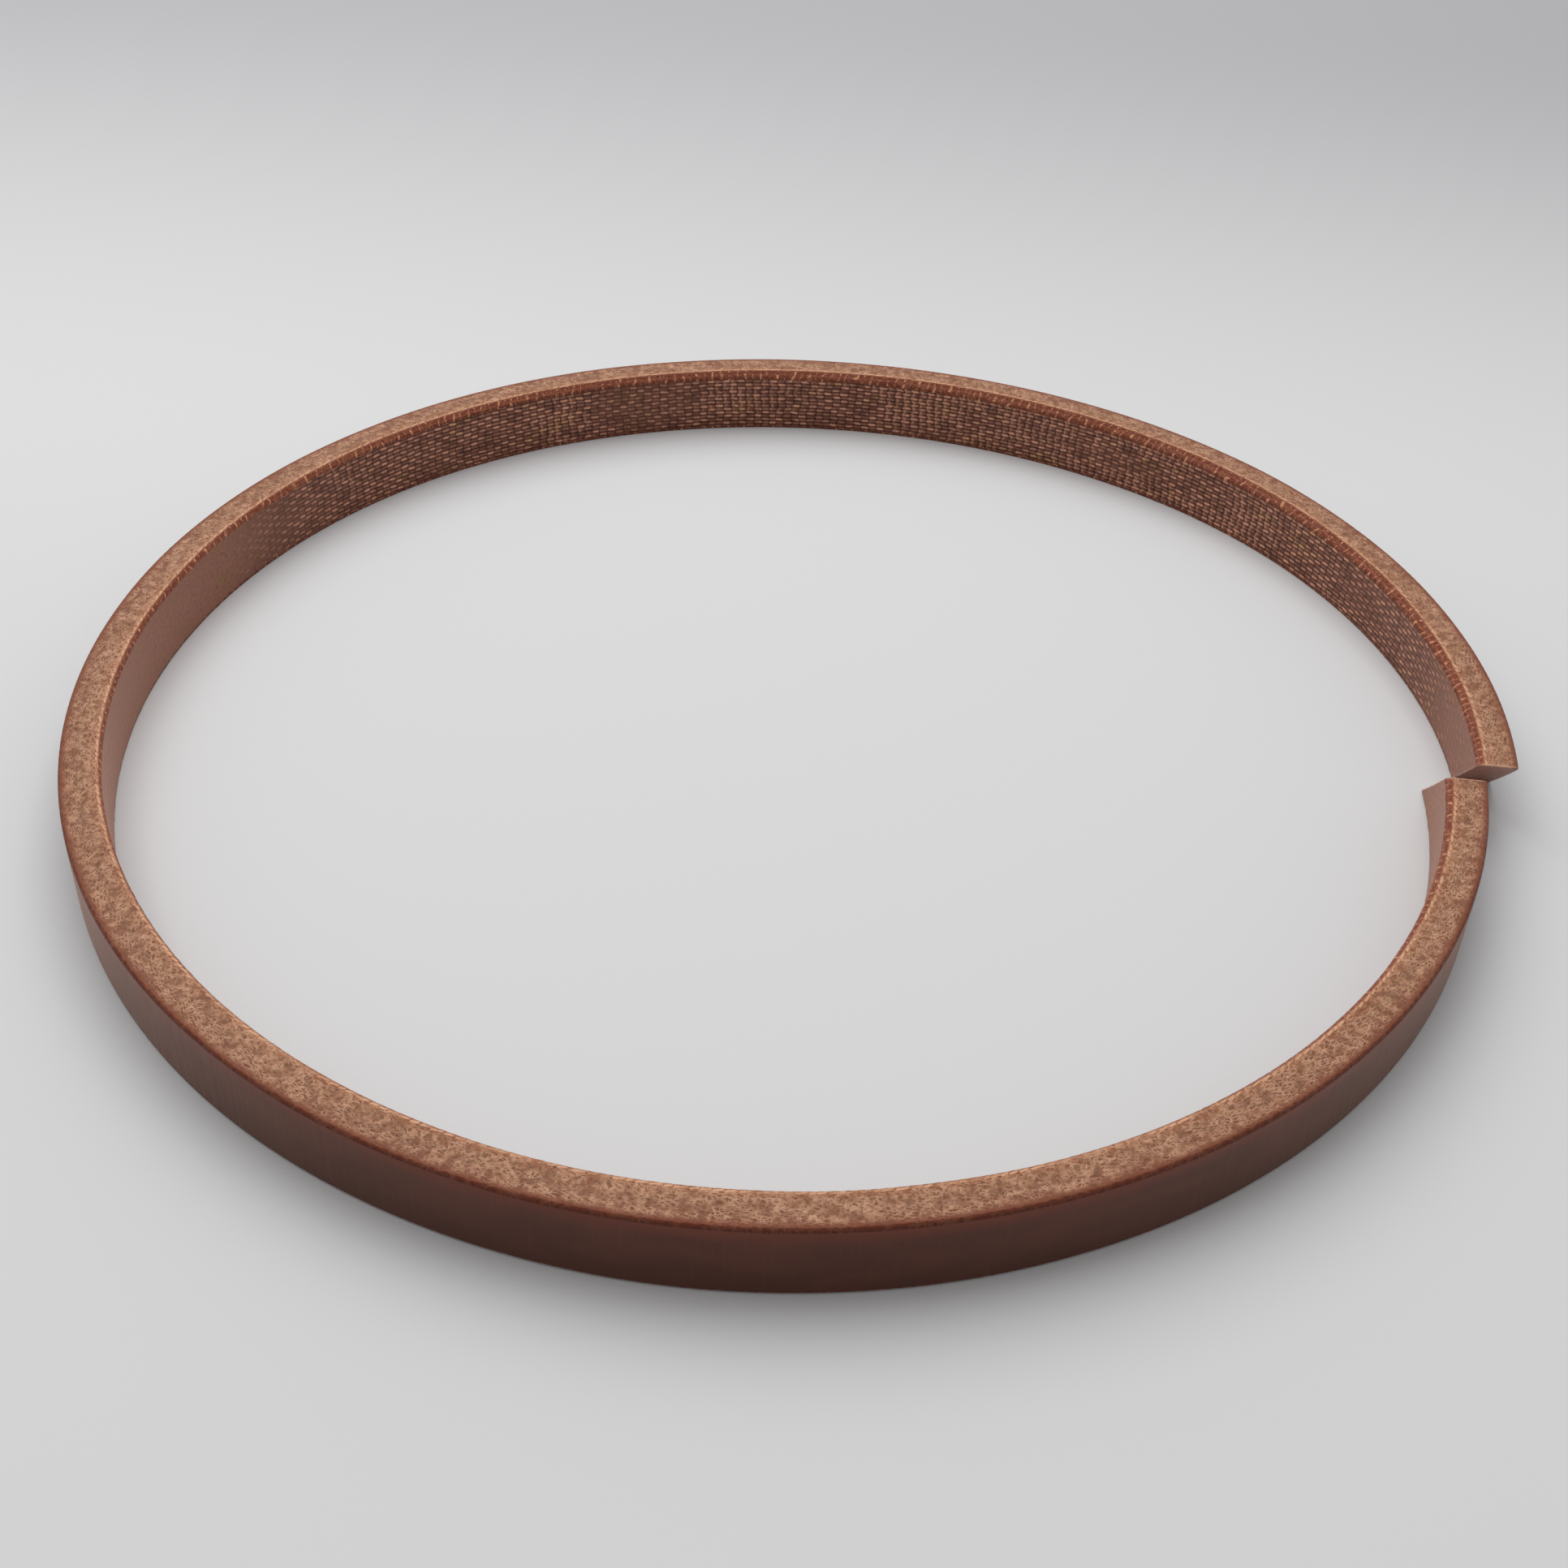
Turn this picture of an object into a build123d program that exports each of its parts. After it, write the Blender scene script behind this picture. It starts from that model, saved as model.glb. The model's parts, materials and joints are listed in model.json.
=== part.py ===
from build123d import *
from math import cos, degrees, radians, sin
import os

# Split guide ring of a hydraulic piston, laid flat. Nine turns of resin-soaked woven cloth
# are bonded one on another, and the ring they make is sawn through once on a slant.
# The origin is on the ring's axis at mid-width, +Z is the ring's axis and +X points at
# the saw cut. Azimuths are degrees about +Z from +X. Lengths are millimetres.

# Section of the ring
outer_diameter = 175.0
wall_thickness = 5.0
ring_width = 9.7
ply_count = 9
upper_inner_chamfer = 0.9
lower_inner_chamfer = 0.15
outer_chamfer = 0.3

# The slanted saw cut at +X
cut_angle = 45.0
saw_kerf = 2.2
cut_allowance = 8.0

# The free end behind the cut has sprung outward: from spring_azimuth on, the ring follows
# a flatter arc and then a tighter one, each tangent to the last.
spring_azimuth = 115.6
flat_arc_radius = 93.9
flat_arc_turn = 55.9
tip_arc_radius = 83.9

# The ring bends at four lines parallel to its axis and twists at its heel, opposite the cut
heel_azimuth = 180.0
heel_half_angle = 40.0
flank_angle = 70.0
bend_seam = 0.05

outer_radius = outer_diameter / 2
ply_thickness = wall_thickness / ply_count
tip_azimuth = spring_azimuth - flat_arc_turn
back_bend_azimuth = heel_azimuth - heel_half_angle
back_tip_azimuth = back_bend_azimuth - flank_angle
front_bend_azimuth = heel_azimuth + heel_half_angle
front_tip_azimuth = front_bend_azimuth + flank_angle


def along(azimuth):
    """The horizontal unit vector at an azimuth."""
    return Vector(cos(radians(azimuth)), sin(radians(azimuth)), 0)


# Each curve of the outer face is its centre and its radius
true_circle = (Vector(0, 0, 0), outer_radius)
flat_arc = (along(spring_azimuth) * (outer_radius - flat_arc_radius), flat_arc_radius)
tip_arc = (flat_arc[0] + along(tip_azimuth) * (flat_arc_radius - tip_arc_radius), tip_arc_radius)

# Each span of the ring is the stretches of curve that it follows, by rising azimuth
spans = {
    "heel_front": [(true_circle, heel_azimuth, front_bend_azimuth)],
    "flank_front": [(true_circle, front_bend_azimuth, front_tip_azimuth)],
    "tip_front": [(true_circle, front_tip_azimuth, 360 + cut_allowance)],
    "heel_back": [(true_circle, back_bend_azimuth, heel_azimuth)],
    "flank_back": [
        (flat_arc, back_tip_azimuth, spring_azimuth),
        (true_circle, spring_azimuth, back_bend_azimuth),
    ],
    "tip_back": [
        (tip_arc, -cut_allowance, tip_azimuth),
        (flat_arc, tip_azimuth, back_tip_azimuth),
    ],
}

# The two saw faces: the back end overhangs and the front end reaches in under it
cut_normal = Vector(0, cos(radians(cut_angle)), sin(radians(cut_angle)))
saw_faces = {
    "tip_back": (Plane(cut_normal * (saw_kerf / 2), z_dir=cut_normal), Keep.TOP),
    "tip_front": (Plane(cut_normal * (-saw_kerf / 2), z_dir=cut_normal), Keep.BOTTOM),
}


def half_height(depth, inner_chamfer):
    """Half the ring's width at a depth in from its outer face, less its chamfers."""
    into_inner_chamfer = depth - (wall_thickness - inner_chamfer)
    into_outer_chamfer = outer_chamfer - depth
    return ring_width / 2 - max(0, into_inner_chamfer, into_outer_chamfer)


def ply_edge(ply, radius, inner_chamfer):
    """One side of a ply's section from its outer face in, as radius and half height."""
    inner_depth = wall_thickness - (ply - 1) * ply_thickness
    outer_depth = inner_depth - ply_thickness
    bends = [outer_chamfer, wall_thickness - inner_chamfer]
    depths = [outer_depth] + [d for d in bends if outer_depth < d < inner_depth] + [inner_depth]
    return [(radius - depth, half_height(depth, inner_chamfer)) for depth in depths]


def ply_outline(ply, radius):
    """The corners of one ply's section, as radius and height. Ply 1 is the inner face."""
    top = ply_edge(ply, radius, upper_inner_chamfer)
    bottom = ply_edge(ply, radius, lower_inner_chamfer)
    return top + [(r, -height) for r, height in reversed(bottom)]


def section_plane(centre, azimuth):
    """The upright plane through a centre, with its x outward at the azimuth and its y up."""
    outward = along(azimuth)
    return Plane(centre, x_dir=outward, z_dir=outward.cross(Vector(0, 0, 1)))


def node_name(span, ply):
    """A name that says where along the ring and how deep in it the ply is."""
    if ply == 1:
        return f"{span}_inner_face_ply"
    if ply == ply_count:
        return f"{span}_outer_face_ply"
    return f"{span}_core_ply_{ply}"


def make_ply(span, ply):
    """One ply of one span, with half a seam left free at each bend."""
    stretches = spans[span]
    seam_angle = degrees(bend_seam / 2 / outer_radius)
    with BuildPart() as cloth:
        for number, ((centre, radius), low, high) in enumerate(stretches):
            start = low + seam_angle if number == 0 else low
            stop = high - seam_angle if number == len(stretches) - 1 else high
            with BuildSketch(section_plane(centre, start)):
                with BuildLine():
                    Polyline(*ply_outline(ply, radius), close=True)
                make_face()
            revolve(axis=Axis(centre, (0, 0, 1)), revolution_arc=stop - start)
        if span in saw_faces:
            saw_face, kept_side = saw_faces[span]
            split(bisect_by=saw_face, keep=kept_side)
    return cloth


os.makedirs("parts", exist_ok=True)
for span in spans:
    for ply in range(1, ply_count + 1):
        cloth = make_ply(span, ply)
        cloth.part.label = node_name(span, ply)
        export_step(cloth.part, f"parts/{cloth.part.label}.step")
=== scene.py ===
import json
from math import cos, radians, sin, sqrt

import bpy
import numpy as np
from mathutils import Matrix, Vector

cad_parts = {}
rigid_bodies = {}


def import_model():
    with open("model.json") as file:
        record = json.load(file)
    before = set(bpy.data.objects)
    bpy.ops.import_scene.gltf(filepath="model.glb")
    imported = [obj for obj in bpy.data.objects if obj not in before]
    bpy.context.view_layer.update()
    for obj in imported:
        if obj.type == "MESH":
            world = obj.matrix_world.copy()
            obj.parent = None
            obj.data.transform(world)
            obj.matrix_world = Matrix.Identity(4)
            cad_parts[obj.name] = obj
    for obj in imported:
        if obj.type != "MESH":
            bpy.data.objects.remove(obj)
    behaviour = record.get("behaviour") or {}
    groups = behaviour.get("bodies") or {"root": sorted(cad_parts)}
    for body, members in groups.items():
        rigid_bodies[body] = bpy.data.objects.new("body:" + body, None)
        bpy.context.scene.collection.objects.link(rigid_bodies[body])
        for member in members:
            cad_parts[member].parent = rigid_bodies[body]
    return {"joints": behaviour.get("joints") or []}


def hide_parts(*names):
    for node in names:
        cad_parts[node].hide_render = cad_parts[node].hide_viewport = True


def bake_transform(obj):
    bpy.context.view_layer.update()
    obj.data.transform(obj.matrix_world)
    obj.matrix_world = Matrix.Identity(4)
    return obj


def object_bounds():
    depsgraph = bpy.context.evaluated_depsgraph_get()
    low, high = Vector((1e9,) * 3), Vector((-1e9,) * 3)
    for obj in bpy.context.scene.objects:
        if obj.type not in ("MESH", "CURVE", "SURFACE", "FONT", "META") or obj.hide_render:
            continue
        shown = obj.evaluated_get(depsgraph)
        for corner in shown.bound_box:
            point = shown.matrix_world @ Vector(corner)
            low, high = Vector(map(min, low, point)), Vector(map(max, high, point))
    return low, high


# The split guide ring as its nine bonded plies, each a closed mesh with the relief of its
# cloth. The frame is in metres. Lengths named here are in millimetres, and MM converts them.
# Along the ring, s is the distance on the outer face from the heel, positive on the back arm,
# depth is measured inward from the outer face, and z is along the ring's axis.
MM = 0.001

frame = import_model()
cad_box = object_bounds()

# ---------------------------------------------------------------------------------------
# The ring's shape, as the CAD model has it
# ---------------------------------------------------------------------------------------
OUTER_RADIUS = 87.5
WALL = 5.0
HALF_WIDTH = 4.85
PLIES = 9
PLY = WALL / PLIES
INNER_CHAMFER = 0.9
LOWER_INNER_CHAMFER = 0.15
OUTER_CHAMFER = 0.3
SAW_KERF = 2.2
HEEL_AZIMUTH = radians(180.0)

# The upper inner chamfer was cut unevenly: widest toward the back right, narrow at the front
UPPER_CHAMFER = 0.62
UPPER_CHAMFER_SWING = 0.40
UPPER_CHAMFER_AZIMUTH = radians(65.0)

# The back arm springs outward along a flatter arc and then a tighter one
SPRING_AZIMUTH = radians(115.6)
FLAT_RADIUS = 93.9
FLAT_TURN = radians(55.9)
TIP_RADIUS = 83.9
TIP_AZIMUTH = SPRING_AZIMUTH - FLAT_TURN


def along(azimuth):
    """The horizontal unit vector at an azimuth."""
    return np.array([np.cos(azimuth), np.sin(azimuth)])


FLAT_CENTRE = along(SPRING_AZIMUTH) * (OUTER_RADIUS - FLAT_RADIUS)
TIP_CENTRE = FLAT_CENTRE + along(TIP_AZIMUTH) * (FLAT_RADIUS - TIP_RADIUS)
SPRING_S = (HEEL_AZIMUTH - SPRING_AZIMUTH) * OUTER_RADIUS
TIP_S = SPRING_S + FLAT_TURN * FLAT_RADIUS

# The cloth: rows of yarn run along the ring and columns across it
ROW_PITCH = 0.61
COLUMN_PITCH = 1.316
WEAVE_RELIEF = 0.12
TURNING_RELIEF = 0.006

# Resin has filled the weave at both saw ends and at the heel. Each pair is where it starts
# and where it is full, and the heel's pair is measured from HEEL_FILM_MIDDLE.
BACK_FILM = (244, 268)
FRONT_FILM = (-232, -262)
HEEL_FILM = (62, 20)
HEEL_FILM_MIDDLE = -6
# The columns come through most on this stretch of the back arm
COLUMNS_START = (126, 146)
COLUMNS_STOP = (225, 195)

# Mesh spacing and the rounding of edges
STATION_STEP = 0.2
SAW_END_STATIONS = (0.14, 0.09, 0.05, 0.02, 0.0)
SAW_PASSES = 3
WEAVE_STRIPS = 66
RUNNING_STRIPS = 14
EDGE_STRIPS = 8
SIDE_STRIPS = 5
EDGE_ROUNDING = 0.10
SAW_EDGE_ROUNDING = 0.14
# How far from a saw face the painted highlight on its rounded edge reaches
SAW_RIM = 0.32
# How far the dense strips of a chamfer reach past it onto the face, and onto the side face
FACE_MARGIN = 0.25
SIDE_LIP = 0.015

# A lattice of random values, and how far apart in it the cells, rows and seeds of a noise lie
LATTICE_SIZE = 4096
CELL_STEP = 57
ROW_STEP = 1031
SEED_STEP = 389
LATTICE = np.random.default_rng(7).uniform(-1, 1, LATTICE_SIZE)


def lattice_noise(x, cell_step, offset):
    """Smooth noise of one coordinate, from -1 to 1, along one line of the lattice."""
    cell = np.floor(x).astype(int)
    part = x - cell
    ease = part * part * (3 - 2 * part)
    first = LATTICE[(cell * cell_step + offset) % LATTICE_SIZE]
    second = LATTICE[((cell + 1) * cell_step + offset) % LATTICE_SIZE]
    return first * (1 - ease) + second * ease


def noise_1d(x, seed):
    """Smooth noise of one coordinate, from -1 to 1."""
    return lattice_noise(x, 1, seed * SEED_STEP)


def noise_2d(x, y, seed):
    """Smooth noise of two coordinates, from -1 to 1."""
    row = np.floor(y).astype(int)
    part = y - row
    ease = part * part * (3 - 2 * part)
    first = lattice_noise(x, CELL_STEP, row * ROW_STEP + seed * SEED_STEP)
    second = lattice_noise(x, CELL_STEP, (row + 1) * ROW_STEP + seed * SEED_STEP)
    return first * (1 - ease) + second * ease


def smooth_max(a, b, rounding):
    """The larger of two values, with the corner where they cross rounded off."""
    return (a + b + np.sqrt((a - b) ** 2 + rounding**2)) / 2


def smoothstep(low, high, x):
    """0 at low and 1 at high, with a smooth rise between them."""
    t = np.clip((x - low) / (high - low), 0, 1)
    return t * t * (3 - 2 * t)


def chamfers(s, side):
    """Inner and outer chamfer widths at a distance along the ring, on side +1 or -1."""
    seed = 11 if side > 0 else 12
    scallop = np.abs(np.sin(np.pi * s / COLUMN_PITCH + 0.8 * noise_1d(s / 6.0, seed + 8)))
    width = LOWER_INNER_CHAMFER
    unevenness = 0.3
    if side > 0:
        azimuth = HEEL_AZIMUTH - s / OUTER_RADIUS
        width = UPPER_CHAMFER + UPPER_CHAMFER_SWING * np.cos(azimuth - UPPER_CHAMFER_AZIMUTH)
        unevenness = 1.0
    inner = width + unevenness * (0.07 * noise_1d(s / 11.0, seed) + 0.04 * scallop)
    outer = OUTER_CHAMFER + 0.04 * noise_1d(s / 14.0, seed + 2) + 0.02 * scallop
    return inner, outer


def bond_depth(bond, s, side):
    """How deep in from the outer face a bond line runs. It waves over the yarns."""
    nominal = WALL - bond * PLY
    seed = 30 + bond * 2 + (side > 0)
    wave = 0.045 * np.sin(2 * np.pi * s / COLUMN_PITCH + 2.5 * noise_1d(s / 5, seed))
    return nominal + wave + 0.03 * noise_1d(s / 3.0, seed + 40)


def side_height(depth, s, side, inset):
    """Half the width at a depth, over the side face and the outer parts of both chamfers."""
    inner, outer = chamfers(s, side)
    fall = smooth_max(depth - (WALL - inner), outer - depth, EDGE_ROUNDING)
    return HALF_WIDTH - smooth_max(fall, 0, EDGE_ROUNDING) - inset


def resin_film(s, z):
    """How far resin has filled the weave: at both saw ends, at the heel, in faint patches."""
    film = np.maximum(0.85 * smoothstep(*BACK_FILM, s), smoothstep(*FRONT_FILM, s))
    film = np.maximum(film, 1.15 * smoothstep(*HEEL_FILM, np.abs(s - HEEL_FILM_MIDDLE)))
    return np.maximum(film, 0.3 * smoothstep(0.05, 0.6, noise_2d(s / 17, z / 5, 10)))


def column_patches(s, z):
    """Where the columns of yarn come through between the rows."""
    stretch = 0.9 * smoothstep(*COLUMNS_START, s) * smoothstep(*COLUMNS_STOP, s) - 0.45
    spots = noise_2d(s / 10, z / 6, 7) + 0.5 * noise_2d(s / 1.3, z / 1.5, 8)
    return smoothstep(-0.15, 0.5, stretch + spots)


def weave(s, z):
    """The cloth on the inner face: its relief, and masks of its rows, columns and height."""
    wander_z = 0.12 * noise_2d(s / 9, z / 4, 1) + 0.05 * noise_2d(s / 1.3, z / 1.2, 2)
    wander_s = 0.30 * noise_2d(s / 8, z / 3, 3) + 0.26 * noise_2d(s / 3.1, z / 0.61, 4)
    rows = (z + wander_z) / ROW_PITCH
    columns = (s + wander_s) / COLUMN_PITCH
    row = np.floor(rows)
    column = np.floor(columns)
    across_row = 2 * (rows - row) - 1
    across_column = 2 * (columns - column) - 1
    # A row passes over every second column, and the next row over the columns between
    on_top = np.cos(np.pi * (column + row)) * np.cos(np.pi * across_column / 2)
    over = smoothstep(-0.35, 0.35, on_top)
    fullness = 0.74 + 0.52 * noise_2d(s / 1.5, z / 0.5, 5)
    gap = smoothstep(1.0, 0.70, np.abs(across_column))
    row_yarn = np.sqrt(np.clip(1 - across_row**2, 0, 1)) * (0.34 + 0.60 * over * fullness)
    column_yarn = (0.18 + 0.40 * (1 - over)) * gap
    resin = 0.5 + 0.5 * noise_2d(s / 13, z / 6, 6)
    film = resin_film(s, z)
    height = np.clip(np.maximum(row_yarn, column_yarn), 0, 1)
    height = np.maximum(height, np.maximum(0.12 * resin, 0.55 * film))
    # The crown of a row is a light dash that leans a little
    lean = 0.16 * across_column * noise_2d(s / 4, z / 1.2, 9)
    dash = smoothstep(0.85, 0.20, np.abs(across_row + lean)) * gap * (0.34 + 0.66 * over) * fullness
    dash = np.maximum(dash * (1 - 0.75 * film), 0.24 * np.minimum(film, 1))
    post = smoothstep(0.42, 0.10, np.abs(across_column + 0.30)) * (1 - over) * (1 - 0.7 * film)
    masks = np.stack([np.clip(dash, 0, 1), post * column_patches(s, z), height], -1)
    return (1 - height) * WEAVE_RELIEF, masks


def place(s, depth, z):
    """Points in the frame, in millimetres."""
    flat = (s > SPRING_S) & (s <= TIP_S)
    tip = s > TIP_S
    azimuth = HEEL_AZIMUTH - s / OUTER_RADIUS
    azimuth = np.where(flat, SPRING_AZIMUTH - (s - SPRING_S) / FLAT_RADIUS, azimuth)
    azimuth = np.where(tip, TIP_AZIMUTH - (s - TIP_S) / TIP_RADIUS, azimuth)
    centre_x = np.where(flat, FLAT_CENTRE[0], np.where(tip, TIP_CENTRE[0], 0.0))
    centre_y = np.where(flat, FLAT_CENTRE[1], np.where(tip, TIP_CENTRE[1], 0.0))
    reach = np.where(flat, FLAT_RADIUS, np.where(tip, TIP_RADIUS, OUTER_RADIUS)) - depth
    return np.stack([centre_x + reach * np.cos(azimuth), centre_y + reach * np.sin(azimuth), z], -1)


def back_end(depth, z):
    """Where the back arm's saw face crosses a line along the ring."""
    y = SAW_KERF / sqrt(2) - z
    azimuth = np.arcsin((y - TIP_CENTRE[1]) / (TIP_RADIUS - depth))
    return TIP_S + (TIP_AZIMUTH - azimuth) * TIP_RADIUS


def front_end(depth, z):
    """Where the front arm's saw face crosses a line along the ring."""
    y = -SAW_KERF / sqrt(2) - z
    azimuth = 2 * np.pi + np.arcsin(y / (OUTER_RADIUS - depth))
    return (HEEL_AZIMUTH - azimuth) * OUTER_RADIUS


# ---------------------------------------------------------------------------------------
# The stretches of ring, one to each hinge
# ---------------------------------------------------------------------------------------
def arc_s(azimuth_degrees):
    """The distance along the ring at an azimuth, before its back tip."""
    azimuth = radians(azimuth_degrees)
    if azimuth >= SPRING_AZIMUTH:
        return (HEEL_AZIMUTH - azimuth) * OUTER_RADIUS
    return SPRING_S + (SPRING_AZIMUTH - azimuth) * FLAT_RADIUS


# The seams lie midway between two hinges
HEEL_BACK_S = arc_s(160)
BACK_TIP_S = arc_s(105)
HEEL_FRONT_S = arc_s(200)
FRONT_TIP_S = arc_s(255)
# Where each stretch starts, where it stops, and its hinge
STRETCHES = {
    "heel": (HEEL_FRONT_S, HEEL_BACK_S, "axial_spread"),
    "back": (HEEL_BACK_S, BACK_TIP_S, "back_arm_opening"),
    "back_tip": (BACK_TIP_S, back_end, "back_tip_opening"),
    "front": (HEEL_FRONT_S, FRONT_TIP_S, "front_arm_opening"),
    "front_tip": (FRONT_TIP_S, front_end, "front_tip_opening"),
}
# How far on each side of its hinge the two points of hinge_line lie
BEND_REACH = 24.0

# Zones of the surface, in the order of the mesh's material slots
INNER, CHAMFER_IN, SIDE, CHAMFER_OUT, RUNNING, SAWN, BOND = range(7)


def outline_zones(ply):
    """The zone of each strip round a ply's outline, the last strip closing it."""
    if ply not in (1, PLIES):
        return ([SIDE] * SIDE_STRIPS + [BOND]) * 2
    skin, slope = (INNER, CHAMFER_IN) if ply == 1 else (RUNNING, CHAMFER_OUT)
    edge = [SIDE] + [slope] * (EDGE_STRIPS - 1)
    return edge + [skin] * face_strips(ply) + edge[::-1] + [BOND]


def face_strips(ply):
    """How many strips lie across the face of the inner or the outer ply."""
    return WEAVE_STRIPS if ply == 1 else RUNNING_STRIPS


def skin_heights(ply, s, inset):
    """The height of each outline point of a face ply: close together over its chamfers."""
    last = s.shape[1] - 1
    height = np.zeros_like(s)
    bond = 1 if ply == 1 else PLIES - 1
    for side in (-1, 1):
        for step in range(EDGE_STRIPS + 1):
            column = step if side < 0 else last - step
            here = s[:, column]
            inner, outer = chamfers(here, side)
            top = side_height(bond_depth(bond, here, side), here, side, inset[:, column])
            high = top if step == 0 else top - SIDE_LIP
            low = HALF_WIDTH - (inner if ply == 1 else outer) - FACE_MARGIN
            share = max(step - 1, 0) / (EDGE_STRIPS - 1)
            height[:, column] = side * (high * (1 - share) + low * share)
    bottom, top = height[:, EDGE_STRIPS], height[:, last - EDGE_STRIPS]
    for strip in range(1, face_strips(ply)):
        share = strip / face_strips(ply)
        height[:, EDGE_STRIPS + strip] = bottom * (1 - share) + top * share
    return height


def skin_section(ply, s, inset):
    """A face ply's outline: depth, height, and the yarn masks of the inner one."""
    height = skin_heights(ply, s, inset)
    which = 0 if ply == 1 else 1
    width = np.where(height > 0, chamfers(s, 1)[which], chamfers(s, -1)[which])
    slope = np.abs(height) - (HALF_WIDTH - width) + inset
    if ply == 1:
        relief, masks = weave(s, height)
        depth = WALL - smooth_max(relief + inset, slope, EDGE_ROUNDING)
        masks[..., :2] *= (1 - smoothstep(-0.1, 0.15, slope - relief))[..., None]
    else:
        marks = TURNING_RELIEF * (1 + noise_1d(s / 0.35, 90))
        depth = smooth_max(marks + inset, slope, EDGE_ROUNDING)
        masks = None
    bond = 1 if ply == 1 else PLIES - 1
    for column, side in ((0, -1), (-1, 1)):
        depth[:, column] = bond_depth(bond, s[:, column], side)
    return depth, height, masks


def core_section(ply, s, inset):
    """A core ply's outline, which shows only on the two side faces: depth and height."""
    depth = np.zeros_like(s)
    height = np.zeros_like(s)
    for side, first in ((1, 0), (-1, SIDE_STRIPS + 1)):
        for step in range(SIDE_STRIPS + 1):
            column = first + step
            here = s[:, column]
            share = step / SIDE_STRIPS if side > 0 else 1 - step / SIDE_STRIPS
            inner_line = bond_depth(ply - 1, here, side)
            outer_line = bond_depth(ply, here, side)
            depth[:, column] = outer_line * (1 - share) + inner_line * share
            height[:, column] = side * side_height(depth[:, column], here, side, inset[:, column])
    return depth, height, None


def signed_volume(points, quads):
    """Six times the volume inside the quads, negative where they face inward."""
    a, b, c, d = (points[quads[:, k]] for k in range(4))
    halves = np.einsum("ij,ij->i", a, np.cross(b, c)) + np.einsum("ij,ij->i", a, np.cross(c, d))
    return float(halves.sum())


def tube_mesh(name, points, zones, end_zone):
    """A tube through rows of points, with a zone to each strip and a face at each end."""
    columns = len(zones)
    grid = np.arange(len(points)).reshape(-1, columns)
    following = np.roll(grid, -1, axis=1)
    quads = np.stack([grid[:-1], following[:-1], following[1:], grid[1:]], -1).reshape(-1, 4)
    caps = [grid[0][::-1], grid[-1]]
    # Faces point outward on both arms, which run opposite ways round the ring
    if signed_volume(points, quads) < 0:
        quads = quads[:, ::-1]
        caps = [cap[::-1] for cap in caps]
    corners = np.concatenate([quads.ravel(), *caps])
    sizes = np.concatenate([np.full(len(quads), 4), [columns, columns]])
    starts = np.concatenate([[0], np.cumsum(sizes)[:-1]])
    zone = np.concatenate([np.tile(zones, len(grid) - 1), [BOND, end_zone]])

    mesh = bpy.data.meshes.new(name)
    mesh.vertices.add(len(points))
    mesh.vertices.foreach_set("co", points.astype(np.float32).ravel())
    mesh.loops.add(len(corners))
    mesh.loops.foreach_set("vertex_index", corners.astype(np.int32))
    mesh.polygons.add(len(sizes))
    mesh.polygons.foreach_set("loop_start", starts.astype(np.int32))
    mesh.polygons.foreach_set("material_index", zone.astype(np.int32))
    mesh.update(calc_edges=True)

    # Saw faces and bond faces are flat, with sharp edges
    mesh.polygons.foreach_set("use_smooth", zone < SAWN)
    edges = np.zeros(len(corners), np.int32)
    mesh.loops.foreach_get("edge_index", edges)
    sharp = np.zeros(len(mesh.edges), bool)
    sharp[edges[np.repeat(zone, sizes) >= SAWN]] = True
    mesh.edges.foreach_set("use_edge_sharp", sharp)
    return mesh


def add_attribute(mesh, name, values):
    """Store a value or a vector on each point of a mesh, for its materials to read."""
    kind, field = ("FLOAT", "value") if values.ndim == 1 else ("FLOAT_VECTOR", "vector")
    attribute = mesh.attributes.new(name, kind, "POINT")
    attribute.data.foreach_set(field, values.astype(np.float32).ravel())


def make_ply(ply, stretch):
    """One ply over one stretch of the ring."""
    start, stop, _ = STRETCHES[stretch]
    sawn = callable(stop)
    length = abs((stop(0.0, 0.0) if sawn else stop) - start)
    share = np.linspace(0, 1, int(length / STATION_STEP) + 1)
    if sawn:
        share = np.concatenate([share[:-2], 1 - np.array(SAW_END_STATIONS) / length])
    zones = outline_zones(ply)
    rows, columns = len(share), len(zones)

    # The edges beside a saw face are rounded over by pulling the outline in
    to_saw_face = (1 - share) * length if sawn else np.full(rows, length)
    rounded = np.clip(SAW_EDGE_ROUNDING - to_saw_face, 0, SAW_EDGE_ROUNDING)
    pulled_in = SAW_EDGE_ROUNDING - np.sqrt(SAW_EDGE_ROUNDING**2 - rounded**2)
    inset = np.repeat(pulled_in[:, None], columns, axis=1)

    # Where a saw face ends each line depends on its depth and height, so they settle together
    section = skin_section if ply in (1, PLIES) else core_section
    depth = np.full((rows, columns), WALL - (ply - 0.5) * PLY)
    height = np.zeros((rows, columns))
    for _ in range(SAW_PASSES if sawn else 1):
        end = stop(depth[-1], height[-1]) if sawn else np.full(columns, stop)
        s = start + (end - start)[None, :] * share[:, None]
        depth, height, masks = section(ply, s, inset)

    name = f"{ply_name(ply)}_{stretch}"
    points = place(s, depth, height).reshape(-1, 3) * MM
    mesh = tube_mesh(name, points, zones, SAWN if sawn else BOND)
    add_attribute(mesh, "ring", np.stack([s, depth, height], -1).reshape(-1, 3))
    # The rim value marks the rounded edge beside a saw face, where the materials paint a highlight
    add_attribute(mesh, "rim", np.repeat(smoothstep(SAW_RIM, 0.0, to_saw_face), columns))
    if ply == 1:
        add_attribute(mesh, "yarn", masks.reshape(-1, 3))
    mesh.validate()
    piece = bpy.data.objects.new(name, mesh)
    bpy.context.scene.collection.objects.link(piece)
    return piece


def ply_name(ply):
    """A ply's name as the CAD's nodes have it after their span."""
    if ply == 1:
        return "inner_face_ply"
    if ply == PLIES:
        return "outer_face_ply"
    return f"core_ply_{ply}"


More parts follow.
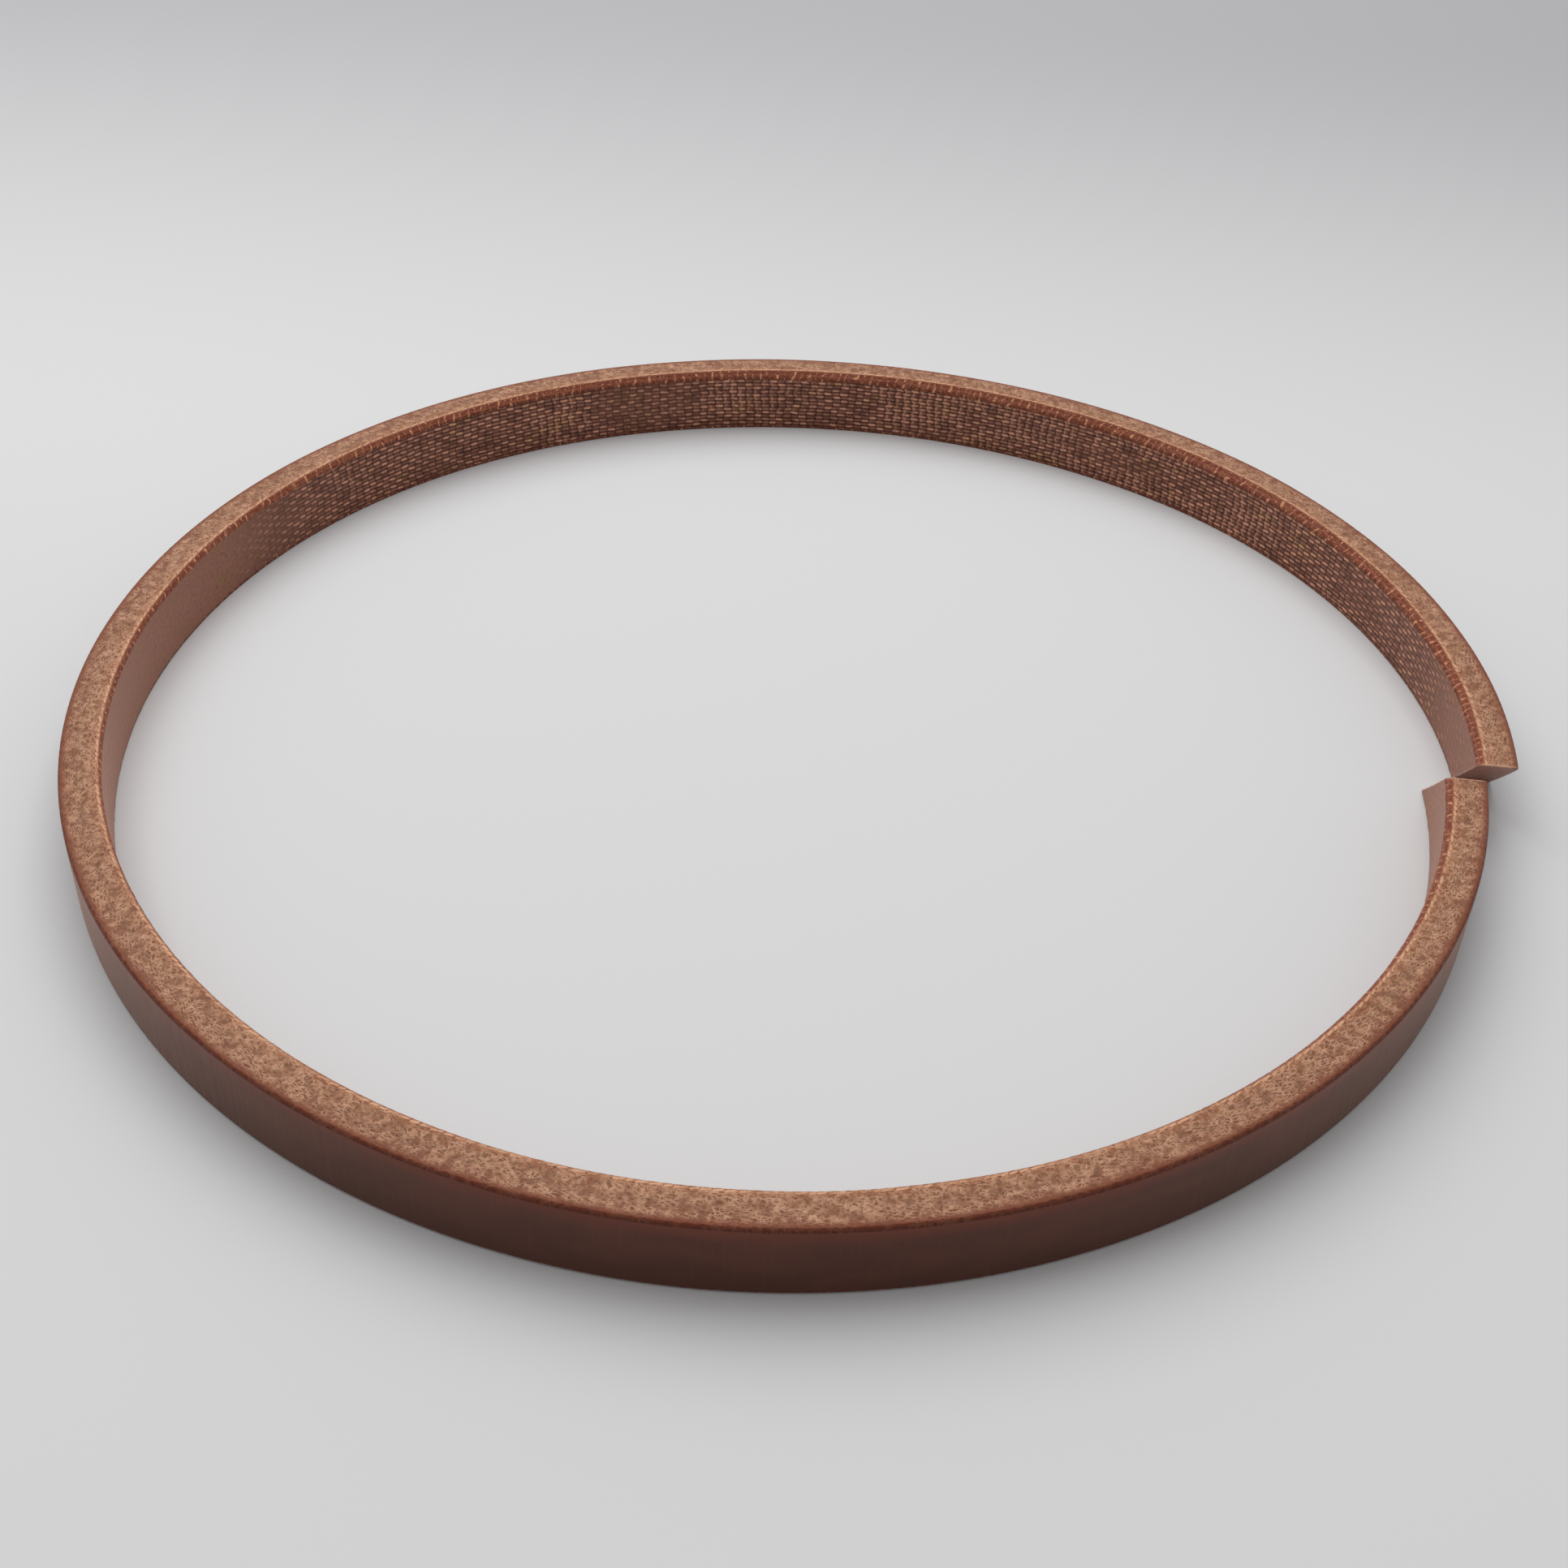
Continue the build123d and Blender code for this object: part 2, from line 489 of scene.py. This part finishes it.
# ---------------------------------------------------------------------------------------
# Materials
# ---------------------------------------------------------------------------------------
def rgb(r, g, b):
    """A colour given as 0 to 255 as it looks, as the linear values a shader takes."""
    def linear(value):
        v = value / 255
        return v / 12.92 if v <= 0.04045 else ((v + 0.055) / 1.055) ** 2.4
    return (linear(r), linear(g), linear(b), 1.0)


SHEEN_ROUGHNESS = 0.4
SHEEN_TINT = rgb(255, 206, 180)


class Nodes:
    """A material's node tree, and short ways to add to it."""

    def __init__(self, name):
        self.material = bpy.data.materials.new(name)
        self.material.use_nodes = True
        self.tree = self.material.node_tree
        self.shader = self.tree.nodes["Principled BSDF"]

    def add(self, kind, inputs=None, **settings):
        node = self.tree.nodes.new(kind)
        for key, value in settings.items():
            setattr(node, key, value)
        for key, value in (inputs or {}).items():
            self.feed(node.inputs[key], value)
        return node

    def feed(self, socket, value):
        if isinstance(value, bpy.types.NodeSocket):
            self.tree.links.new(value, socket)
        else:
            socket.default_value = value

    def math(self, operation, *values, clamp=False):
        node = self.add("ShaderNodeMath", operation=operation, use_clamp=clamp)
        for socket, value in zip(node.inputs, values):
            self.feed(socket, value)
        return node.outputs[0]

    def product(self, first, *others):
        for other in others:
            first = self.math("MULTIPLY", first, other)
        return first

    def noise(self, vector, scale, detail=2.0, roughness=0.5, distortion=0.0):
        node = self.add("ShaderNodeTexNoise", {"Vector": vector, "Scale": scale, "Detail": detail,
                                               "Roughness": roughness, "Distortion": distortion})
        return node.outputs["Fac"]

    def stretched_noise(self, vector, scales, detail=2.0, roughness=0.5, distortion=0.0):
        """Noise with its own scale along the ring, across the wall and across the width."""
        scaled = self.add("ShaderNodeVectorMath", {0: vector, 1: scales}, operation="MULTIPLY")
        return self.noise(scaled.outputs["Vector"], 1.0, detail, roughness, distortion)

    def squiggle(self, field, width):
        """Thin wandering lines, where a noise crosses its middle value."""
        off = self.math("ABSOLUTE", self.math("SUBTRACT", field, 0.5))
        return self.span(off, 0.0, width, 1.0, 0.0)

    def span(self, value, low, high, to_low=0.0, to_high=1.0):
        node = self.add("ShaderNodeMapRange", {"Value": value, "From Min": low, "From Max": high,
                                               "To Min": to_low, "To Max": to_high},
                        interpolation_type="SMOOTHSTEP")
        return node.outputs["Result"]

    def mix(self, factor, a, b):
        node = self.add("ShaderNodeMix", data_type="RGBA")
        self.feed(node.inputs["Factor"], factor)
        self.feed(node.inputs[6], a)
        self.feed(node.inputs[7], b)
        return node.outputs[2]

    def ramp(self, value, stops):
        node = self.add("ShaderNodeValToRGB", {"Fac": value})
        elements = node.color_ramp.elements
        while len(elements) < len(stops):
            elements.new(0.5)
        for element, (position, colour) in zip(elements, stops):
            element.position = position
            element.color = colour
        return node.outputs["Color"]

    def attribute(self, name, output):
        return self.add("ShaderNodeAttribute", attribute_name=name).outputs[output]

    def parts(self, vector):
        node = self.add("ShaderNodeSeparateXYZ", {0: vector})
        return node.outputs["X"], node.outputs["Y"], node.outputs["Z"]

    def painted_rim_highlight(self, vector, colour, light):
        """Paint a highlight on the rounded edge beside a saw face, in broken patches."""
        broken = self.span(self.noise(vector, 1.4), 0.35, 0.6, 0.25, 0.85)
        return self.mix(self.product(self.attribute("rim", "Fac"), broken), colour, light)

    def bump(self, height, distance, strength):
        node = self.add("ShaderNodeBump", {"Height": height, "Distance": distance, "Strength": strength})
        return node.outputs["Normal"]

    def finish(self, colour, roughness, normal=None, specular=0.5, sheen=0.0):
        self.feed(self.shader.inputs["Base Color"], colour)
        self.feed(self.shader.inputs["Roughness"], roughness)
        self.shader.inputs["Specular IOR Level"].default_value = specular
        self.shader.inputs["Sheen Weight"].default_value = sheen
        self.shader.inputs["Sheen Roughness"].default_value = SHEEN_ROUGHNESS
        self.shader.inputs["Sheen Tint"].default_value = SHEEN_TINT
        if normal is not None:
            self.feed(self.shader.inputs["Normal"], normal)
        return self.material


# Colour across the turned side of the ring, by depth from the outer face
WALL_STOPS = [
    (0.00, rgb(94, 42, 28)),
    (0.22, rgb(108, 52, 34)),
    (0.36, rgb(130, 72, 48)),
    (0.60, rgb(121, 67, 45)),
    (0.90, rgb(123, 70, 48)),
    (1.20, rgb(124, 73, 50)),
    (1.80, rgb(124, 76, 53)),
    (2.50, rgb(125, 82, 58)),
    (3.30, rgb(134, 82, 54)),
    (3.72, rgb(143, 85, 52)),
    (3.98, rgb(160, 102, 72)),
    (4.16, rgb(122, 58, 37)),
    (4.46, rgb(112, 51, 32)),
    (4.60, rgb(138, 74, 51)),
    (4.76, rgb(108, 48, 31)),
    (5.00, rgb(112, 56, 39)),
]
# Depths at which the side face's yarn marks begin and end, and the inner chamfer's begin
SIDE_BEGINS = (0.35, 1.2)
SIDE_ENDS = (3.95, 4.2)
CHAMFER_BEGINS = (4.12, 4.25)
INNER_EDGE_LINE = 3.98


def nominal_depth(m, s, depth, z):
    """Depth as if the upper inner chamfer were INNER_CHAMFER wide, to end colours on its edge."""
    lead = HEEL_AZIMUTH - UPPER_CHAMFER_AZIMUTH
    turn = m.math("COSINE", m.math("MULTIPLY_ADD", s, -1 / OUTER_RADIUS, lead))
    edge = m.math("MULTIPLY_ADD", turn, -UPPER_CHAMFER_SWING, WALL - UPPER_CHAMFER)
    shift = m.math("SUBTRACT", WALL - INNER_CHAMFER, edge)
    on_top_side = m.span(z, -1.0, 1.0)
    near_edge = m.span(depth, 2.6, 4.0)
    return m.math("MULTIPLY_ADD", m.product(on_top_side, near_edge), shift, depth)


def across_wall(m, vector, s, depth):
    """Colour by depth in the wall, on lines that wave over the yarns."""
    sway = m.product(m.noise(vector, 0.25, 1.0), 9.0)
    wave = m.math("SINE", m.math("MULTIPLY_ADD", s, 2 * np.pi / COLUMN_PITCH, sway))
    loose = m.math("SUBTRACT", m.stretched_noise(vector, (0.9, 1.4, 0.5)), 0.5)
    shifted = m.math("ADD", depth, m.math("MULTIPLY_ADD", wave, 0.05, m.product(loose, 0.30)))
    return m.ramp(m.math("DIVIDE", shifted, WALL, clamp=True), [(d / WALL, c) for d, c in WALL_STOPS])


def cut_cloth(m, vector, s, depth):
    """The cut edge of each ply: long yarns that wind about the round ends of cross yarns."""
    jitter = m.math("SUBTRACT", m.stretched_noise(vector, (1.6, 2.2, 0.4)), 0.5)
    layer = m.math("MULTIPLY_ADD", jitter, 0.9, m.math("DIVIDE", depth, PLY))
    number = m.math("FLOOR", layer)
    middle = m.math("SUBTRACT", m.math("FRACT", layer), 0.5)
    drift = m.product(m.stretched_noise(vector, (0.12, 0.3, 0.1), 1.0), 14.0)
    phase = m.math("MULTIPLY_ADD", number, 2.4, drift)
    swing = m.product(m.math("SINE", m.math("MULTIPLY_ADD", s, np.pi / COLUMN_PITCH, phase)), 0.34)
    above = m.math("ABSOLUTE", m.math("SUBTRACT", middle, swing))
    below = m.math("ABSOLUTE", m.math("ADD", middle, swing))
    yarn = m.span(m.math("MINIMUM", above, below), 0.05, 0.20, 1.0, 0.0)
    inside = m.math("SUBTRACT", m.math("ABSOLUTE", swing), m.math("ABSOLUTE", middle))
    return yarn, m.span(inside, 0.02, 0.16)


def edge_line(m, vector, turn, depth):
    """A bright broken line of arcs, one to each column of yarn, along the inner edge."""
    rise = m.math("FRACT", m.math("DIVIDE", turn, np.pi))
    off = m.math("ABSOLUTE", m.math("SUBTRACT", depth, m.math("MULTIPLY_ADD", rise, -0.22, INNER_EDGE_LINE)))
    arc = m.product(m.span(off, 0.04, 0.20, 1.0, 0.0), m.span(rise, 0.02, 0.35))
    bright = m.span(m.stretched_noise(vector, (0.35, 1.0, 1.0)), 0.35, 0.6, 0.15, 0.75)
    return m.product(arc, bright)


def yarn_hooks(m, vector, turn, depth):
    """Ends of the cross yarns on the inner chamfer: slanted hooks, one to a yarn."""
    slant = m.math("MULTIPLY_ADD", depth, 2.2, m.product(turn, 2.0))
    hooks = m.math("MULTIPLY_ADD", m.math("SINE", turn), 0.14, m.math("SINE", slant))
    patchy = m.span(m.stretched_noise(vector, (1.1, 2.8, 1.0)), 0.42, 0.60)
    return m.product(m.span(hooks, 0.60, 1.0), patchy, m.span(depth, *CHAMFER_BEGINS))


def wall_material(name, roughness):
    """The turned side face or a chamfer, where the tool has cut across the yarns."""
    m = Nodes(name)
    vector = m.attribute("ring", "Vector")
    s, depth, z = m.parts(vector)
    depth = nominal_depth(m, s, depth, z)
    on_side = m.product(m.span(depth, *SIDE_BEGINS), m.math("SUBTRACT", 1.0, m.span(depth, *SIDE_ENDS)))
    yarn, end = cut_cloth(m, vector, s, depth)
    fine = m.squiggle(m.stretched_noise(vector, (1.35, 1.35, 0.405), 1.0, 0.5, 0.6), 0.075)
    shown = m.span(m.stretched_noise(vector, (0.8, 0.9, 0.3)), 0.36, 0.60, 0.2, 1.0)
    light = m.product(m.math("MAXIMUM", m.product(yarn, 0.7), fine), shown)
    tuft = m.stretched_noise(vector, (1.25, 1.05, 0.3), 2.0, 0.6, 0.6)
    dark = m.span(m.stretched_noise(vector, (1.5, 1.5, 0.45), 2.0, 0.6), 0.47, 0.34)

    colour = across_wall(m, vector, s, depth)
    colour = m.mix(m.product(end, on_side, 0.35), colour, rgb(122, 94, 64))
    colour = m.mix(m.product(m.span(tuft, 0.48, 0.66), on_side, 0.75), colour, rgb(168, 122, 92))
    colour = m.mix(m.product(m.span(tuft, 0.46, 0.34), on_side, 0.5), colour, rgb(108, 66, 46))
    pits = m.product(dark, m.math("MULTIPLY_ADD", on_side, 0.12, 0.25))
    colour = m.mix(pits, colour, rgb(88, 44, 29))
    threads = m.product(light, m.math("MULTIPLY_ADD", on_side, 0.66, 0.10))
    colour = m.mix(threads, colour, rgb(204, 158, 128))

    sway = m.product(m.noise(vector, 0.4, 1.0), 5.0)
    turn = m.math("MULTIPLY_ADD", s, np.pi / COLUMN_PITCH, sway)
    colour = m.mix(edge_line(m, vector, turn, depth), colour, rgb(222, 172, 136))
    fleck = m.squiggle(m.stretched_noise(vector, (1.3, 1.3, 0.6), 1.0, 0.5, 0.6), 0.05)
    colour = m.mix(m.product(fleck, m.span(depth, *CHAMFER_BEGINS), 0.5), colour, rgb(176, 112, 80))
    hook = yarn_hooks(m, vector, turn, depth)
    colour = m.mix(m.product(hook, 0.85), colour, rgb(216, 150, 112))
    # Painted highlight on the rounded edge beside the saw face
    colour = m.painted_rim_highlight(vector, colour, rgb(214, 168, 140))
    relief = m.math("SUBTRACT", m.math("MAXIMUM", light, hook), dark)
    return m.finish(colour, roughness, m.bump(relief, 0.00003, 0.8), specular=0.18, sheen=0.06)


def weave_material():
    """The moulded inner face: light crowns of yarn over dark resin in the gaps."""
    m = Nodes("Woven inner face")
    vector = m.attribute("ring", "Vector")
    rows, columns, height = m.parts(m.attribute("yarn", "Vector"))
    patch = m.stretched_noise(vector, (0.16, 0.4, 0.35), 3.0)
    worn = m.stretched_noise(vector, (1.3, 1.0, 2.2), 3.0)
    colour = m.mix(m.span(height, 0.25, 0.70), rgb(38, 12, 8), rgb(104, 51, 35))
    colour = m.mix(m.span(worn, 0.42, 0.7, 0.0, 0.25), colour, rgb(116, 62, 44))
    colour = m.mix(m.product(columns, 0.75), colour, rgb(206, 146, 116))
    crown = m.mix(m.span(patch, 0.52, 0.7), rgb(236, 172, 142), rgb(226, 176, 124))
    colour = m.mix(m.product(rows, m.span(worn, 0.28, 0.55, 0.55, 1.0)), colour, crown)
    # Painted highlight on the rounded edge beside the saw face
    colour = m.painted_rim_highlight(vector, colour, rgb(222, 186, 168))
    fibres = m.bump(m.stretched_noise(vector, (2.0, 3.0, 12.0)), 0.00001, 0.4)
    return m.finish(colour, m.span(worn, 0.2, 0.8, 0.42, 0.52), fibres, specular=0.25, sheen=0.2)


def running_material():
    """The turned outer face, with painted shade darkening it towards its lower edge and painted light making
    it lighter and warmer at its upper one.
    """
    m = Nodes("Running face")
    vector = m.attribute("ring", "Vector")
    _, _, z = m.parts(vector)
    streak = m.stretched_noise(vector, (2.2, 1.0, 0.12), 3.0)
    cloud = m.stretched_noise(vector, (0.10, 1.0, 0.3))
    colour = m.mix(m.span(cloud, 0.35, 0.65), rgb(86, 42, 28), rgb(96, 48, 32))
    colour = m.mix(m.product(m.span(streak, 0.5, 0.72), 0.22), colour, rgb(112, 70, 52))
    # Painted shade: the face is darkened towards its lower edge
    colour = m.mix(m.span(z, 3.5, -4.5, 0.0, 0.35), colour, rgb(58, 30, 20))
    # Painted light: a lighter, warmer band along the face's upper edge
    colour = m.mix(m.span(z, 2.2, 4.6, 0.0, 0.75), colour, rgb(122, 58, 38))
    # Painted highlight on the rounded edge beside the saw face
    colour = m.painted_rim_highlight(vector, colour, rgb(176, 130, 108))
    turned = m.stretched_noise(vector, (0.08, 1.0, 9.0))
    marks = m.bump(m.math("MULTIPLY_ADD", streak, 0.7, turned), 0.000006, 0.4)
    return m.finish(colour, m.span(streak, 0.3, 0.7, 0.38, 0.46), marks, specular=0.25, sheen=0.3)


def sawn_material():
    """The sawn ends, with a faint line at each bond."""
    m = Nodes("Sawn end")
    vector = m.attribute("ring", "Vector")
    _, depth, _ = m.parts(vector)
    bond = m.math("PINGPONG", m.math("DIVIDE", depth, PLY), 0.5)
    marks = m.stretched_noise(vector, (1.5, 9.0, 1.5))
    colour = m.mix(m.span(marks, 0.35, 0.65), rgb(138, 88, 72), rgb(166, 112, 94))
    colour = m.mix(m.span(bond, 0.0, 0.12, 0.4, 0.0), colour, rgb(112, 66, 52))
    return m.finish(colour, 0.45, m.bump(marks, 0.00001, 0.5), specular=0.35, sheen=0.2)


def bond_material():
    """The resin between plies, which is hidden."""
    m = Nodes("Resin bond")
    cloud = m.noise(m.attribute("ring", "Vector"), 1.5, 3.0)
    colour = m.mix(cloud, rgb(96, 54, 40), rgb(124, 74, 56))
    return m.finish(colour, m.span(cloud, 0.3, 0.7, 0.5, 0.65))


# In the order of the surface's zones
MATERIALS = [
    weave_material(),
    wall_material("Turned inner chamfer", 0.5),
    wall_material("Turned side face", 0.6),
    wall_material("Turned outer chamfer", 0.5),
    running_material(),
    sawn_material(),
    bond_material(),
]

# ---------------------------------------------------------------------------------------
# The pieces
# ---------------------------------------------------------------------------------------
JOINTS = {joint["name"]: joint for joint in frame["joints"]}


def hinge_line(joint):
    """Two points either side of a hinge, along the ring."""
    pivot = Vector(joint["pos_m"])
    onward = Vector((-pivot.y, pivot.x, 0)).normalized()
    if joint["name"].startswith("back"):
        onward.negate()
    if joint["name"] == "axial_spread":
        onward = Vector((0, 1, 0))
    reach = onward * BEND_REACH * MM
    return pivot - reach, pivot + reach


for stretch, (_, _, joint_name) in STRETCHES.items():
    joint = JOINTS[joint_name]
    start_point, end_point = hinge_line(joint)
    for ply in range(1, PLIES + 1):
        piece = make_ply(ply, stretch)
        for material in MATERIALS:
            piece.data.materials.append(material)
        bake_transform(piece)
        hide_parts(*(f"{body}_{ply_name(ply)}" for body in (joint["parent"], joint["child"])))

# ---------------------------------------------------------------------------------------
# Floor, lights and camera
# ---------------------------------------------------------------------------------------
scene = bpy.context.scene
scene.view_settings.view_transform = "Standard"

FLOOR_HALF = 3000.0
# The floor is painted a darker grey behind the ring, as painted shade in place of the light falling off
# there. It darkens between these distances, in metres.
FLOOR_DARKENS = (0.05, 0.30)


def add_floor():
    """A pale floor at the ring's underside, with painted shade darkening it behind the ring."""
    mesh = bpy.data.meshes.new("floor")
    low = cad_box[0].z
    corner = FLOOR_HALF * MM
    corners = [(-corner, -corner, low), (corner, -corner, low), (corner, corner, low), (-corner, corner, low)]
    mesh.from_pydata(corners, [], [(0, 1, 2, 3)])
    floor = bpy.data.objects.new("floor", mesh)
    scene.collection.objects.link(floor)
    m = Nodes("Pale floor")
    _, away, _ = m.parts(m.add("ShaderNodeTexCoord").outputs["Object"])
    # Painted shade: the floor's colour darkens behind the ring
    m.finish(m.mix(m.span(away, *FLOOR_DARKENS), rgb(211, 211, 211), rgb(171, 171, 173)), 0.7, specular=0.2)
    mesh.materials.append(m.material)


# The studio is bright overhead and behind, and dim low down in front
WORLD_LOW = 0.10
WORLD_HIGH = 0.60
WORLD_FROM = -0.4
WORLD_TO = 0.5
WORLD_LEAN = 0.6


def add_world():
    world = bpy.data.worlds.new("Studio")
    world.use_nodes = True
    tree = world.node_tree
    sky = tree.nodes.new("ShaderNodeTexCoord")
    split = tree.nodes.new("ShaderNodeSeparateXYZ")
    tree.links.new(sky.outputs["Generated"], split.inputs[0])
    lean = tree.nodes.new("ShaderNodeMath")
    lean.operation = "MULTIPLY_ADD"
    tree.links.new(split.outputs["Y"], lean.inputs[0])
    lean.inputs[1].default_value = WORLD_LEAN
    tree.links.new(split.outputs["Z"], lean.inputs[2])
    fade = tree.nodes.new("ShaderNodeMapRange")
    tree.links.new(lean.outputs[0], fade.inputs["Value"])
    fade.inputs["From Min"].default_value = WORLD_FROM
    fade.inputs["From Max"].default_value = WORLD_TO
    fade.inputs["To Min"].default_value = WORLD_LOW
    fade.inputs["To Max"].default_value = WORLD_HIGH
    tree.links.new(fade.outputs[0], tree.nodes["Background"].inputs["Strength"])
    tree.nodes["Background"].inputs["Color"].default_value = rgb(246, 246, 247)
    scene.world = world


KEY_PLACE = (-150, 280, 640)
KEY_SIZE = 800
KEY_WATTS = 4.4


def add_key_light():
    """A large soft light above and behind the ring, aimed at its middle."""
    lamp = bpy.data.lights.new("Key", "AREA")
    lamp.size = KEY_SIZE * MM
    lamp.energy = KEY_WATTS
    holder = bpy.data.objects.new("Key", lamp)
    scene.collection.objects.link(holder)
    holder.location = Vector(KEY_PLACE) * MM
    holder.rotation_euler = (-holder.location).to_track_quat("-Z", "Y").to_euler()


CAMERA_AIM = (2.626, -14.610, 0.0)
CAMERA_DISTANCE = 252.0
CAMERA_HEADING = radians(5.6)
CAMERA_ELEVATION = radians(38.676)
CAMERA_ROLL = radians(2.29)
CAMERA_LENS = 47.295
CAMERA_SENSOR = 36.0
CAMERA_CLIP = 10.0


def add_camera():
    """A camera that looks down on the ring from the front, a little turned and rolled."""
    forward = Vector((-sin(CAMERA_HEADING) * cos(CAMERA_ELEVATION),
                      cos(CAMERA_HEADING) * cos(CAMERA_ELEVATION), -sin(CAMERA_ELEVATION)))
    level = forward.cross(Vector((0, 0, 1))).normalized()
    upright = level.cross(forward)
    right = level * cos(CAMERA_ROLL) + upright * sin(CAMERA_ROLL)
    up = upright * cos(CAMERA_ROLL) - level * sin(CAMERA_ROLL)
    camera = bpy.data.objects.new("Camera", bpy.data.cameras.new("Camera"))
    scene.collection.objects.link(camera)
    turn = Matrix((right, up, -forward)).transposed().to_4x4()
    camera.matrix_world = Matrix.Translation((Vector(CAMERA_AIM) - forward * CAMERA_DISTANCE) * MM) @ turn
    camera.data.sensor_width = CAMERA_SENSOR
    camera.data.lens = CAMERA_LENS
    camera.data.clip_start = CAMERA_CLIP * MM
    scene.camera = camera


add_floor()
add_world()
add_key_light()
add_camera()
